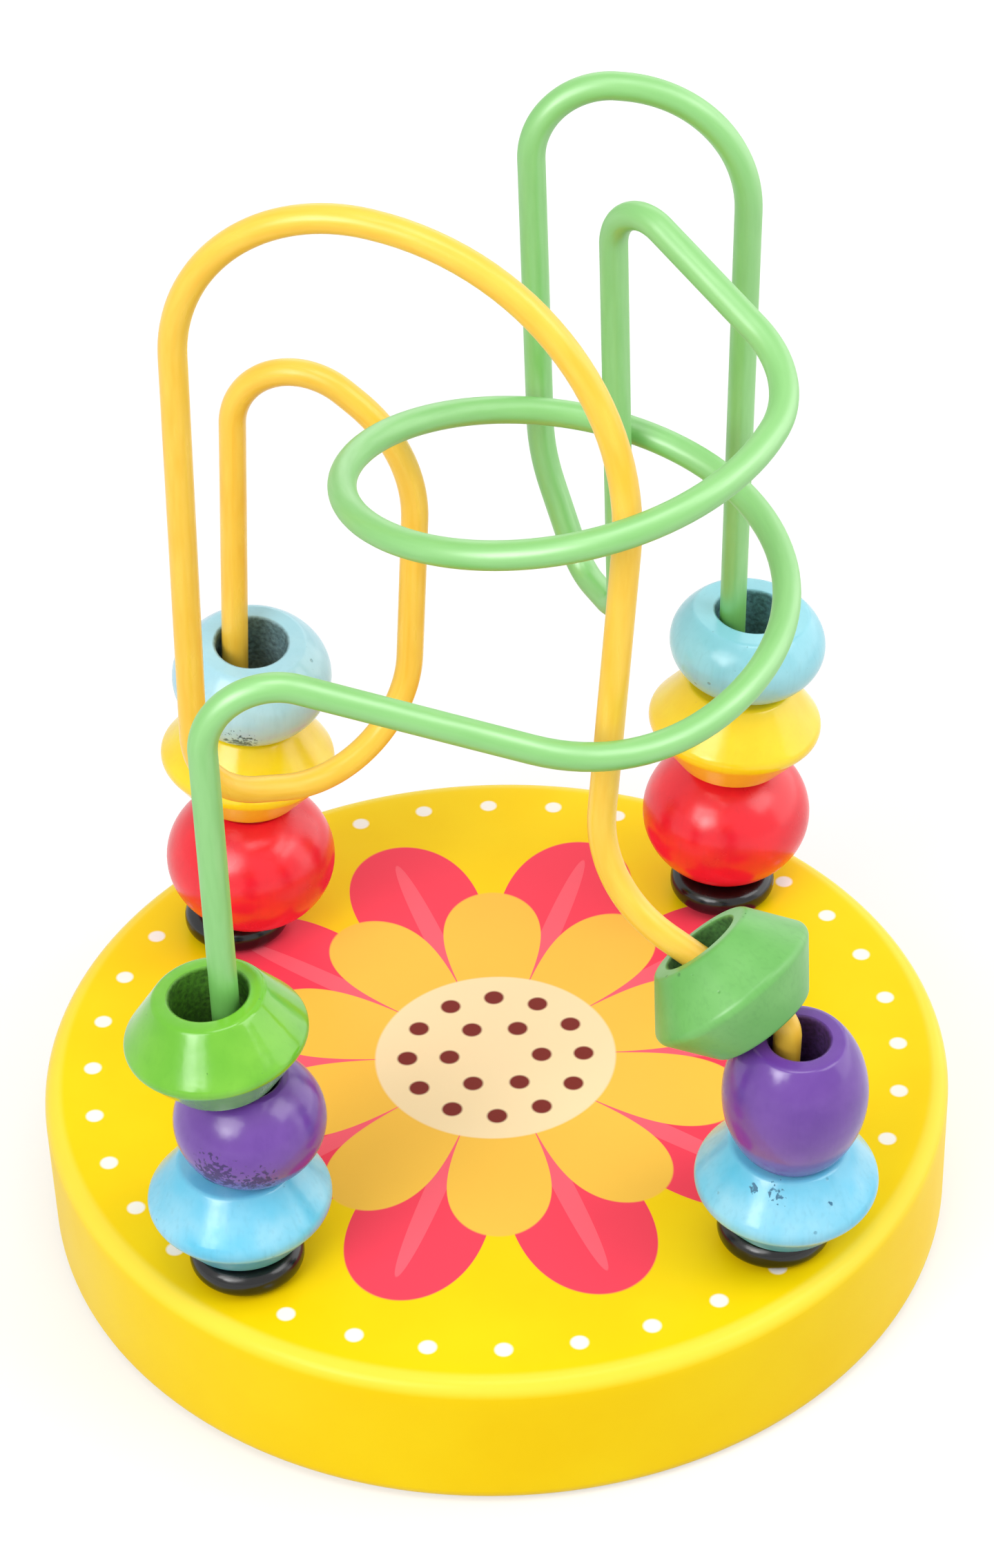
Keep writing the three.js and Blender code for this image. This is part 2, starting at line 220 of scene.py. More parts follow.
paintFilm = {
    # sizes in mm
    "cloud": 5.0,        # patches where the dipped paint is thicker
    "grainWidth": 0.45,  # wood grain that telegraphs through the paint
    "grainLength": 7.0,
    "peel": 0.9,         # ripple of the dried enamel
    "pit": 1.1,          # spacing of burst bubbles
    "scuff": 0.45,       # size of the rubbed flecks
    # heights in mm
    "peelHeight": 0.012, "grainDepth": 0.006, "pitDepth": 0.05, "fleckDepth": 0.03, "boreDepth": 0.12,
    # how strongly each mark shows in the colour
    "grainTone": 0.16, "pitShare": 0.2, "pitTone": 0.45, "edgeRub": 0.12, "scuffPush": 0.36,
    # how dark the bore is painted: painted shade inside it
    "boreShadeTone": (0.5, 0.85),
    # pattern values between which a mark sets in
    "thickSpan": (0.35, 0.7), "grainSpan": (0.5, 0.8), "fleckSpan": (0.74, 0.82), "pitSpan": (0.1, 0.22),
    "evenSpan": (0.3, 0.7),
    # roughness: spread of the gloss, and what flecks and the bore add
    "glossSpread": (-0.04, 0.05), "fleckRoughness": 0.3, "boreRoughness": 0.5,
    "ior": 1.54,
}


def enamelOnBeech(look):
    # dipped nitro enamel on a tumbled beech bead: a glossy even colour over faint grain, with a
    # soft ripple, small bubbles and rubbed flecks where beads knock together, and painted shade round the
    # ends and in the bore
    made = bpy.data.materials.get(look["name"])
    if made:
        return made
    material, tree = newMaterial(look["name"])
    point = addNode(tree, "ShaderNodeAttribute", attribute_name="pieceMm").outputs["Vector"]
    edge = addNode(tree, "ShaderNodeAttribute", attribute_name="edge").outputs["Fac"]
    scuff = addNode(tree, "ShaderNodeAttribute", attribute_name="scuff").outputs["Fac"]

    cloud = addNode(tree, "ShaderNodeTexNoise",
                    {"Vector": point, "Scale": 1 / paintFilm["cloud"], "Detail": 3.0}).outputs["Fac"]
    along = addNode(tree, "ShaderNodeMapping", {"Vector": point, "Scale": (
        1 / paintFilm["grainWidth"], 1 / paintFilm["grainWidth"], 1 / paintFilm["grainLength"])})
    grain = addNode(tree, "ShaderNodeTexNoise",
                    {"Vector": along.outputs[0], "Scale": 1.0, "Detail": 2.0}).outputs["Fac"]
    peel = addNode(tree, "ShaderNodeTexNoise",
                   {"Vector": point, "Scale": 1 / paintFilm["peel"], "Detail": 1.0}).outputs["Fac"]

    # thin and thick paint, and the grain under it
    body, gloss = unevenCoat(tree, cloud, look, paintFilm)
    faint, strong = paintFilm["grainSpan"]
    grainDark = addNode(tree, "ShaderNodeMapRange", {
        "Value": grain, "From Min": faint, "From Max": strong,
        "To Max": paintFilm["grainTone"] * look["grain"]}).outputs[0]
    body = addNode(tree, "ShaderNodeMix", {0: grainDark, 6: body, 7: linear(look["scuffHex"])},
                   data_type="RGBA").outputs[2]

    # painted shade: the colour deepens in a ring round the ends, where the beads meet and shade falls
    endShade = addNode(tree, "ShaderNodeAttribute", attribute_name="endShade").outputs["Fac"]
    endShaded = addNode(tree, "ShaderNodeMath", {0: endShade, 1: cloud}, operation="MULTIPLY").outputs[0]
    body = addNode(tree, "ShaderNodeMix", {0: endShaded, 6: body, 7: linear(look["deepHex"])},
                   data_type="RGBA").outputs[2]

    # flecks in the scuffed spots and along the edges
    fleck = addNode(tree, "ShaderNodeTexNoise",
                    {"Vector": point, "Scale": 1 / paintFilm["scuff"], "Detail": 4.0}).outputs["Fac"]
    rubbed = addNode(tree, "ShaderNodeMath", {0: edge, 1: paintFilm["edgeRub"]},
                     operation="MULTIPLY").outputs[0]
    rubbed = addNode(tree, "ShaderNodeMath", {0: scuff, 1: rubbed}, operation="MAXIMUM").outputs[0]
    reach = addNode(tree, "ShaderNodeMath", {0: rubbed, 1: paintFilm["scuffPush"], 2: fleck},
                    operation="MULTIPLY_ADD").outputs[0]
    whole, worn = paintFilm["fleckSpan"]
    fleckMask = addNode(tree, "ShaderNodeMapRange", {
        "Value": reach, "From Min": whole, "From Max": worn}, interpolation_type="SMOOTHSTEP").outputs[0]
    body = addNode(tree, "ShaderNodeMix", {0: fleckMask, 6: body, 7: linear(look["scuffHex"])},
                   data_type="RGBA").outputs[2]

    # burst bubbles: few, so only the cells with a low random value keep theirs
    cells = addNode(tree, "ShaderNodeTexVoronoi", {"Vector": point, "Scale": 1 / paintFilm["pit"]})
    floorEdge, rimEdge = paintFilm["pitSpan"]
    small = addNode(tree, "ShaderNodeMapRange", {
        "Value": cells.outputs["Distance"], "From Min": floorEdge, "From Max": rimEdge,
        "To Min": 1.0, "To Max": 0.0}, interpolation_type="SMOOTHSTEP").outputs[0]
    chosen = addNode(tree, "ShaderNodeSeparateColor", {0: cells.outputs["Color"]}).outputs[0]
    chosen = addNode(tree, "ShaderNodeMath", {0: chosen, 1: paintFilm["pitShare"] * look["pits"]},
                     operation="LESS_THAN").outputs[0]
    pit = addNode(tree, "ShaderNodeMath", {0: small, 1: chosen}, operation="MULTIPLY").outputs[0]
    pitTone = addNode(tree, "ShaderNodeMath", {0: pit, 1: paintFilm["pitTone"]},
                      operation="MULTIPLY").outputs[0]
    body = addNode(tree, "ShaderNodeMix", {0: pitTone, 6: body, 7: linear(look["scuffHex"])},
                   data_type="RGBA").outputs[2]

    # painted shade: the bore is painted dark, standing in for the shade inside it, and it is rough
    bore = addNode(tree, "ShaderNodeAttribute", attribute_name="bore").outputs["Fac"]
    low, high = paintFilm["evenSpan"]
    painted, darkestBoreShade = paintFilm["boreShadeTone"]
    drilled = addNode(tree, "ShaderNodeMapRange", {
        "Value": fleck, "From Min": low, "From Max": high, "To Min": painted, "To Max": darkestBoreShade}).outputs[0]
    drilled = addNode(tree, "ShaderNodeMath", {0: drilled, 1: bore}, operation="MULTIPLY").outputs[0]
    body = addNode(tree, "ShaderNodeMix", {0: drilled, 6: body, 7: linear(look["boreShadeHex"])},
                   data_type="RGBA").outputs[2]

    # heights in mm: the ripple stands up, and every mark cuts into it
    ripple = addNode(tree, "ShaderNodeMath", {0: peel, 1: paintFilm["peelHeight"]},
                     operation="MULTIPLY").outputs[0]
    cuts = [(grain, paintFilm["grainDepth"] * look["grain"]), (pit, paintFilm["pitDepth"]),
            (fleckMask, paintFilm["fleckDepth"]), (drilled, paintFilm["boreDepth"])]
    for mark, depth in cuts:
        ripple = addNode(tree, "ShaderNodeMath", {0: mark, 1: -depth, 2: ripple},
                         operation="MULTIPLY_ADD").outputs[0]
    bump = addNode(tree, "ShaderNodeBump", {"Height": ripple, "Distance": mm, "Strength": 1.0}).outputs[0]

    for mark, added in ((fleckMask, paintFilm["fleckRoughness"]), (bore, paintFilm["boreRoughness"])):
        gloss = addNode(tree, "ShaderNodeMath", {0: mark, 1: added, 2: gloss},
                        operation="MULTIPLY_ADD").outputs[0]
    shader = addNode(tree, "ShaderNodeBsdfPrincipled", {
        "Base Color": body, "Roughness": gloss, "Normal": bump, "IOR": paintFilm["ior"]})
    addNode(tree, "ShaderNodeOutputMaterial", {"Surface": shader.outputs[0]})
    return material


# beads

beadShape = {
    "sides": 96,
    "turnStep": math.radians(9),
    "spacing": 0.6 * mm,
    "ellipseSteps": 30,
    "boreLip": 0.3 * mm,    # rounding where the bore meets the end face
    "endEdge": 0.7 * mm,    # rounding where the end face meets the side
    "lipShare": 0.4,        # most of the end face's width that each of the two may take
    "edgeShare": 0.5,
    "edgeReach": 1.2 * mm,  # how far from those edges the paint is rubbed
    "endShadeReach": 2.0 * mm,  # and how far the painted shade round the ends reaches
    "endShadeFull": 1.5,
    "boreFade": 0.3 * mm,
    "patternStep": 20.0,    # mm between the beads' places in the pattern, so that no two look alike
    # rounding of the rim where two cones meet
    "conedRims": {"yellow_disc": 1.3 * mm, "blue_saucer": 1.5 * mm, "green_bicone": 0.9 * mm},
    # rubbed spots: degrees round from the front towards the right, height and reach in mm
    "scuffSpots": {
        "purple_round_left_front": [
            {"turn": -24, "height": -1.2, "reach": 3.0}, {"turn": 6, "height": -1.8, "reach": 2.2}],
        "blue_saucer_right_front": [
            {"turn": -34, "height": 3.7, "reach": 0.65}, {"turn": -14, "height": 3.9, "reach": 0.95},
            {"turn": 30, "height": 2.6, "reach": 0.5}],
        "blue_rondelle_left_back": [{"turn": -8, "height": -2.6, "reach": 2.2}],
    },
}


def beadProfile(kind, size):
    bore, end, rim, half = size["bore"], size["end"], size["rim"], size["half"]
    ring = end - bore
    lip = min(beadShape["boreLip"], beadShape["lipShare"] * ring)
    edge = min(beadShape["endEdge"], beadShape["edgeShare"] * ring)
    if kind in beadShape["conedRims"]:
        # the two cones meet past the rim, and the rim's arc rounds that corner off
        radius = beadShape["conedRims"][kind]
        centre = rim - radius
        angle = math.atan2(half, end - centre) - math.acos(radius / math.hypot(centre - end, half))
        side = [(Vector((centre + radius / math.cos(angle), 0, 0)), radius)]
    else:
        # an ellipse cut off at both ends
        pole = half / math.sqrt(1 - (end / rim) ** 2)
        last = math.asin(half / pole)
        steps = beadShape["ellipseSteps"]
        angles = [last * (2 * i / steps - 1) for i in range(1, steps)]
        side = [(Vector((rim * math.cos(a), 0, pole * math.sin(a))), 0) for a in angles]
    corners = [(Vector((bore, 0, -half)), lip), (Vector((end, 0, -half)), edge), *side,
               (Vector((end, 0, half)), edge), (Vector((bore, 0, half)), lip)]
    return roundedPath(corners, beadShape["turnStep"], beadShape["spacing"], closed=True)


def addBead(node):
    kind = "_".join(node.split("_")[:2])
    size = turnedSizes(node)
    mesh = turnedMesh(node, beadProfile(kind, size), beadShape["sides"], closed=True)
    points = np.array([v.co for v in mesh.vertices])
    radii = np.hypot(points[:, 0], points[:, 1])
    sharp = [(r, s * size["half"]) for r in (size["bore"], size["end"]) for s in (-1, 1)]
    gaps = np.min([np.hypot(radii - r, points[:, 2] - z) for r, z in sharp], axis=0)
    storeOnPoints(mesh, "pieceMm", "FLOAT_VECTOR",
                  points / mm + len(bpy.data.meshes) * beadShape["patternStep"])
    storeOnPoints(mesh, "edge", "FLOAT", np.clip(1 - gaps / beadShape["edgeReach"], 0, 1))
    # painted shade round the ends, where the beads meet
    storeOnPoints(mesh, "endShade", "FLOAT",
                  np.clip(beadShape["endShadeFull"] - gaps / beadShape["endShadeReach"], 0, 1))
    # where the bore is: it takes painted shade and roughness
    storeOnPoints(mesh, "bore", "FLOAT",
                  np.clip(1 - (radii - size["bore"]) / beadShape["boreFade"], 0, 1))
    scuff = np.zeros(len(points))
    for spot in beadShape["scuffSpots"].get(node, []):
        turn = math.radians(spot["turn"])
        height = spot["height"] * mm
        radius = radii[np.abs(points[:, 2] - height) < beadShape["spacing"]].max()
        middle = np.array([math.sin(turn) * radius, -math.cos(turn) * radius, height])
        away = np.linalg.norm(points - middle, axis=1) / (spot["reach"] * mm)
        scuff = np.maximum(scuff, np.exp(-away ** 2))
    storeOnPoints(mesh, "scuff", "FLOAT", scuff)
    mesh.transform(size["place"])
    look = beadPaints.get(node) or beadPaints[kind]
    addPiece(mesh, node, node, enamelOnBeech(look))


beadColours = ("red", "yellow", "blue", "purple", "green")
beadNodes = [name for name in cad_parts
             if name.startswith(beadColours) and not name.endswith("_wire")]
for name in sorted(beadNodes):
    addBead(name)
print("beads turned:", len(beadNodes))


# wires

wires = {
    # sizes in mm
    "radius": 1.3,
    "spacing": 1.2,      # longest step along the wire
    "endDepth": 9.7,     # how far the ends stand in the base
    "streakLength": 9.0, "streakWidth": 0.8,
    "nib": 0.35, "nibHeight": 0.004,
    "sides": 28,
    "turnStep": math.radians(3),
    "thickSpan": (0.35, 0.7), "evenSpan": (0.3, 0.7), "glossSpread": (-0.04, 0.06),
}
# bends in mm: place, height above the base's top face, radius
yellowWire = {
    "name": "yellowPowderCoatOnSteel", "hex": "#ffd04a", "deepHex": "#fbc53a", "roughness": 0.3,
    "ior": 1.5,
    "firstLean": (4.2, 0), "firstHeight": 75, "firstRadius": 7,
    "bends": [
        ((-5.5, 16, 61.5), 14), ((-8, 13.5, 25), 11), ((-27.5, 1, 33.5), 10),
        ((-25.5, 0, 100.31), 16), ((15, -10.5, 94), 26.5), ((9.5, -19.5, 37.5), 12.5),
    ],
    "lastLean": (0.7, -1.2), "lastHeight": 28.1, "lastRadius": 3,
}
greenWire = {
    "name": "lightGreenPowderCoatOnSteel", "hex": "#77c45d", "deepHex": "#6dbc52", "roughness": 0.42,
    "ior": 2.4,
    "firstHeight": 70, "firstRadius": 6,
    "coilCentre": (7.9, -1.5), "coilRadius": 19.8, "coilHeightAtRight": 57.8, "coilPitch": 24,
    "coilStart": math.radians(-46), "coilEnd": math.radians(332),
    "leadIn": 11, "leadInRadius": 23, "leadOut": 6.8, "leadOutRadius": 10,
    "bends": [
        ((12.8, 13, 91.4), 4.4), ((13.3, 13.5, 44), 2.7), ((9.8, 21, 44), 3.8),
        ((6.2, 24, 56), 20), ((5.8, 24.8, 95.2), 7),
    ],
    "lastLean": (1.8, 0), "lastHeight": 92.7, "lastRadius": 13,
}
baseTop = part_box("base_disc")[1].z / mm


def postPoint(post, height, lean=(0, 0)):
    low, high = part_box(f"collar_{post}")
    middle = (low + high) / 2 / mm
    return Vector((middle.x + lean[0], middle.y + lean[1], baseTop + height))


def wireEnd(post, aim):
    foot = postPoint(post, 0)
    return foot - (aim - foot).normalized() * wires["endDepth"]


def raised(bends):
    return [(Vector((x, y, baseTop + height)), radius) for (x, y, height), radius in bends]


def yellowCorners():
    first = postPoint("left_back", yellowWire["firstHeight"], yellowWire["firstLean"])
    last = postPoint("right_front", yellowWire["lastHeight"], yellowWire["lastLean"])
    return [(wireEnd("left_back", first), 0), (first, yellowWire["firstRadius"]),
            *raised(yellowWire["bends"]), (last, yellowWire["lastRadius"]),
            (wireEnd("right_front", last), 0)]


def greenCorners():
    route = greenWire
    first = postPoint("left_front", route["firstHeight"])
    last = postPoint("right_back", route["lastHeight"], route["lastLean"])
    climb = route["coilPitch"] / (2 * math.pi)
    sweep = route["coilEnd"] - route["coilStart"]
    steps = math.ceil(sweep / wires["turnStep"])
    turns = [route["coilStart"] + sweep * i / steps for i in range(steps + 1)]
    coil = [Vector((route["coilCentre"][0] + route["coilRadius"] * math.cos(a),
                    route["coilCentre"][1] + route["coilRadius"] * math.sin(a),
                    baseTop + route["coilHeightAtRight"] + climb * a)) for a in turns]
    reach = route["coilRadius"]
    leads = [Vector((-reach * math.sin(a), reach * math.cos(a), climb)).normalized()
             for a in (turns[0], turns[-1])]
    return [(wireEnd("left_front", first), 0), (first, route["firstRadius"]),
            (coil[0] - leads[0] * route["leadIn"], route["leadInRadius"]),
            *[(point, 0) for point in coil],
            (coil[-1] + leads[1] * route["leadOut"], route["leadOutRadius"]),
            *raised(route["bends"]), (last, route["lastRadius"]), (wireEnd("right_back", last), 0)]


def wireTree():
    # sweeps a round section along a path of edges, and keeps the length along and the way round
    tree = bpy.data.node_groups.new("sweptWire", "GeometryNodeTree")
    tree.interface.new_socket("Path", in_out="INPUT", socket_type="NodeSocketGeometry")
    tree.interface.new_socket("Wire Radius", in_out="INPUT", socket_type="NodeSocketFloat")
    tree.interface.new_socket("Sides", in_out="INPUT", socket_type="NodeSocketInt")
    tree.interface.new_socket("Coating", in_out="INPUT", socket_type="NodeSocketMaterial")
    tree.interface.new_socket("Wire", in_out="OUTPUT", socket_type="NodeSocketGeometry")
    given = addNode(tree, "NodeGroupInput").outputs
    curve = addNode(tree, "GeometryNodeMeshToCurve", {"Mesh": given["Path"]}).outputs["Curve"]
    length = addNode(tree, "GeometryNodeSplineParameter").outputs["Length"]
    curve = addNode(tree, "GeometryNodeStoreNamedAttribute",
                    {"Geometry": curve, "Name": "along", "Value": length}, data_type="FLOAT").outputs[0]
    section = addNode(tree, "GeometryNodeCurvePrimitiveCircle",
                      {"Resolution": given["Sides"], "Radius": given["Wire Radius"]}).outputs["Curve"]
    share = addNode(tree, "GeometryNodeSplineParameter").outputs["Factor"]
    section = addNode(tree, "GeometryNodeStoreNamedAttribute",
                      {"Geometry": section, "Name": "around", "Value": share}, data_type="FLOAT").outputs[0]
    swept = addNode(tree, "GeometryNodeCurveToMesh",
                    {"Curve": curve, "Profile Curve": section, "Fill Caps": True}).outputs[0]
    smooth = addNode(tree, "GeometryNodeSetShadeSmooth", {"Geometry": swept}).outputs[0]
    real = addNode(tree, "GeometryNodeRealizeInstances", {"Geometry": smooth}).outputs[0]
    coated = addNode(tree, "GeometryNodeSetMaterial",
                     {"Geometry": real, "Material": given["Coating"]}).outputs[0]
    addNode(tree, "NodeGroupOutput", {"Wire": coated})
    return tree


def powderCoatOnSteel(look):
    # baked polyester powder on drawn steel wire: an even satin skin, fine-grained close up, a
    # little thicker and deeper in long streaks
    material, tree = newMaterial(look["name"])
    point = addNode(tree, "ShaderNodeTexCoord").outputs["Object"]
    along = addNode(tree, "ShaderNodeAttribute", attribute_name="along").outputs["Fac"]
    around = addNode(tree, "ShaderNodeAttribute", attribute_name="around").outputs["Fac"]
    lengthwise = addNode(tree, "ShaderNodeMath", {0: along, 1: 1 / (wires["streakLength"] * mm)},
                         operation="MULTIPLY").outputs[0]
    streaksAcross = wires["radius"] / wires["streakWidth"]
    turn = addNode(tree, "ShaderNodeMath", {0: around, 1: 2 * math.pi}, operation="MULTIPLY").outputs[0]
    across = addNode(tree, "ShaderNodeMath", {0: turn}, operation="COSINE").outputs[0]
    upward = addNode(tree, "ShaderNodeMath", {0: turn}, operation="SINE").outputs[0]
    skin = addNode(tree, "ShaderNodeCombineXYZ", {0: across, 1: upward, 2: lengthwise}).outputs[0]
    streak = addNode(tree, "ShaderNodeTexNoise",
                     {"Vector": skin, "Scale": streaksAcross, "Detail": 2.0}).outputs["Fac"]
    nib = addNode(tree, "ShaderNodeTexNoise",
                  {"Vector": point, "Scale": 1 / (wires["nib"] * mm), "Detail": 2.0}).outputs["Fac"]
    colour, gloss = unevenCoat(tree, streak, look, wires)
    bump = addNode(tree, "ShaderNodeBump",
                   {"Height": nib, "Distance": wires["nibHeight"] * mm, "Strength": 1.0}).outputs[0]
    shader = addNode(tree, "ShaderNodeBsdfPrincipled", {
        "Base Color": colour, "Roughness": gloss, "Normal": bump, "IOR": look["ior"]})
    addNode(tree, "ShaderNodeOutputMaterial", {"Surface": shader.outputs[0]})
    return material


def addWire(node, look, corners, tree):
    path = [point * mm for point in roundedPath(corners, wires["turnStep"], wires["spacing"])]
    line = bpy.data.meshes.new(f"{node}_path")
    line.from_pydata(path, [(i, i + 1) for i in range(len(path) - 1)], [])
    guide = bpy.data.objects.new(f"{node}_path", line)
    bpy.context.scene.collection.objects.link(guide)
    material = powderCoatOnSteel(look)
    given = {"Wire Radius": wires["radius"] * mm, "Sides": wires["sides"], "Coating": material}
    sweep = guide.modifiers.new("sweep", "NODES")
    sweep.node_group = tree
    for socket in tree.interface.items_tree:
        if socket.in_out == "INPUT" and socket.name in given:
            sweep[socket.identifier] = given[socket.name]
    depsgraph = bpy.context.evaluated_depsgraph_get()
    mesh = bpy.data.meshes.new_from_object(guide.evaluated_get(depsgraph), depsgraph=depsgraph)
    mesh.name = node
    bpy.data.objects.remove(guide)
    bpy.data.meshes.remove(line)
    addPiece(mesh, node, "frame", material)


sweptWire = wireTree()
addWire("yellow_wire", yellowWire, yellowCorners(), sweptWire)
addWire("green_wire", greenWire, greenCorners(), sweptWire)
print("wires swept")


# collars

collars = {
    "sides": 64, "turnStep": math.radians(10), "spacing": 0.5 * mm,
    "outerRounding": 1.25 * mm, "innerRounding": 0.6 * mm,
    "hex": "#08080a", "dustHex": "#141416", "roughness": 0.12, "ior": 1.52,
    "dustSize": 1.4, "dustHeight": 0.02,  # mm
    "dustSpan": (0.5, 0.8), "glossSpan": (0.3, 0.8), "dustRoughness": 0.2,
}


def blackRubber(look):
    # moulded black rubber ring with a wet-looking skin: deep black, sharp highlights, faint dust
    material, tree = newMaterial("mouldedBlackRubber")
    point = addNode(tree, "ShaderNodeTexCoord").outputs["Object"]
    dust = addNode(tree, "ShaderNodeTexNoise",
                   {"Vector": point, "Scale": 1 / (look["dustSize"] * mm), "Detail": 4.0}).outputs["Fac"]
    clean, dirty = look["dustSpan"]
    dusty = addNode(tree, "ShaderNodeMapRange",
                    {"Value": dust, "From Min": clean, "From Max": dirty}).outputs[0]
    colour = addNode(tree, "ShaderNodeMix", {0: dusty, 6: linear(look["hex"]), 7: linear(look["dustHex"])},
                     data_type="RGBA").outputs[2]
    gloss = addNode(tree, "ShaderNodeMapRange", {
        "Value": dust, "From Min": look["glossSpan"][0], "From Max": look["glossSpan"][1],
        "To Min": look["roughness"], "To Max": look["roughness"] + look["dustRoughness"]}).outputs[0]
    bump = addNode(tree, "ShaderNodeBump",
                   {"Height": dust, "Distance": look["dustHeight"] * mm, "Strength": 1.0}).outputs[0]
    shader = addNode(tree, "ShaderNodeBsdfPrincipled", {
        "Base Color": colour, "Roughness": gloss, "Normal": bump, "IOR": look["ior"]})
    addNode(tree, "ShaderNodeOutputMaterial", {"Surface": shader.outputs[0]})
    return material


def addCollar(node, material):
    size = turnedSizes(node)
    inner, outer, half = size["bore"], size["rim"], size["half"]
    corners = [(Vector((inner, 0, -half)), collars["innerRounding"]),
               (Vector((outer, 0, -half)), collars["outerRounding"]),
               (Vector((outer, 0, half)), collars["outerRounding"]),
               (Vector((inner, 0, half)), collars["innerRounding"])]
    profile = roundedPath(corners, collars["turnStep"], collars["spacing"], closed=True)
    mesh = turnedMesh(node, profile, collars["sides"], closed=True)
    mesh.transform(size["place"])
    addPiece(mesh, node, "frame", material)


rubber = blackRubber(collars)
for post in ("left_back", "right_back", "left_front", "right_front"):
    addCollar(f"collar_{post}", rubber)
print("collars moulded")


# base

base = {
    "sides": 192, "turnStep": math.radians(9), "spacing": 1.5 * mm, "edgeRounding": 1.7 * mm,
    # blind holes for the wire ends, in mm
    "holeDepth": 10.0, "holeClearance": 0.25, "holeSides": 40, "drillAbove": 3.0,
    # satin enamel
    "hex": "#ffda08", "deepHex": "#fdd302", "edgeHighlightHex": "#fff27a", "roughness": 0.38, "ior": 1.2,
    "cloud": 14.0, "peel": 1.6, "peelHeight": 0.008,  # mm
    "thickSpan": (0.35, 0.7), "evenSpan": (0.3, 0.7), "glossSpread": (-0.04, 0.05),
    "edgeFrom": 42.9, "edgeFull": 43.7,  # mm from the middle, where the smoother edge with its painted highlight sets in
    "edgeDrop": (1.8, 0.6),              # mm below the top face, between which it fades out
    # share of the painted edge highlight's colour, and how much smoother the edge is
    "edgeHighlightShare": 0.3, "edgeSmoother": 0.16,
    "inkDepth": 0.2,                     # mm below the top face, as far as the print goes
}
# printed flower: sizes in mm
flower = {
    "petals": 10,
    "outerReach": 35.0, "outerHex": "#fb465c", "outerBlunt": 0.24,
    "veinReach": 32.0, "veinHex": "#ff6475", "veinBlunt": 14.0,
    "middleReach": 25.5, "middleHex": "#fdc64c", "middleBlunt": 0.2,
    "heartRadius": 12.0, "heartHex": "#fde3b4",
    "seedHex": "#7d2a22", "seedRadius": 1.0, "seedRings": [(12, 8.8), (6, 4.6)],
    "dotHex": "#fffaf0", "dotRadius": 0.85, "dotCount": 36, "dotRing": 40.2,
    "inkEdge": 0.12,
}


def petalMask(tree, radius, turn, count, offset, reach, blunt):
    # 1 inside a ring of petals, 0 outside
    phase = addNode(tree, "ShaderNodeMath", {0: turn, 1: count / 2, 2: offset},
                    operation="MULTIPLY_ADD").outputs[0]
    wave = addNode(tree, "ShaderNodeMath", {0: phase}, operation="COSINE").outputs[0]
    wave = addNode(tree, "ShaderNodeMath", {0: wave}, operation="ABSOLUTE").outputs[0]
    wave = addNode(tree, "ShaderNodeMath", {0: wave, 1: blunt}, operation="POWER").outputs[0]
    edge = addNode(tree, "ShaderNodeMath", {0: wave, 1: reach}, operation="MULTIPLY").outputs[0]
    inside = addNode(tree, "ShaderNodeMath", {0: edge, 1: radius}, operation="SUBTRACT").outputs[0]
    return addNode(tree, "ShaderNodeMapRange", {
        "Value": inside, "From Min": -flower["inkEdge"], "From Max": flower["inkEdge"]}).outputs[0]


def dotRingMask(tree, radius, turn, count, ring, dot):
    # 1 inside each of the dots that stand evenly on a ring
    near = addNode(tree, "ShaderNodeMath", {0: turn, 1: math.pi / count, 2: -math.pi / count},
                   operation="WRAP").outputs[0]
    cosine = addNode(tree, "ShaderNodeMath", {0: near}, operation="COSINE").outputs[0]
    sine = addNode(tree, "ShaderNodeMath", {0: near}, operation="SINE").outputs[0]
    outward = addNode(tree, "ShaderNodeMath", {0: radius, 1: cosine, 2: -ring},
                      operation="MULTIPLY_ADD").outputs[0]
    sideways = addNode(tree, "ShaderNodeMath", {0: radius, 1: sine}, operation="MULTIPLY").outputs[0]
    away = addNode(tree, "ShaderNodeCombineXYZ", {0: outward, 1: sideways}).outputs[0]
    away = addNode(tree, "ShaderNodeVectorMath", {0: away}, operation="LENGTH").outputs["Value"]
    return addNode(tree, "ShaderNodeMapRange", {
        "Value": away, "From Min": dot - flower["inkEdge"], "From Max": dot + flower["inkEdge"],
        "To Min": 1.0, "To Max": 0.0}).outputs[0]


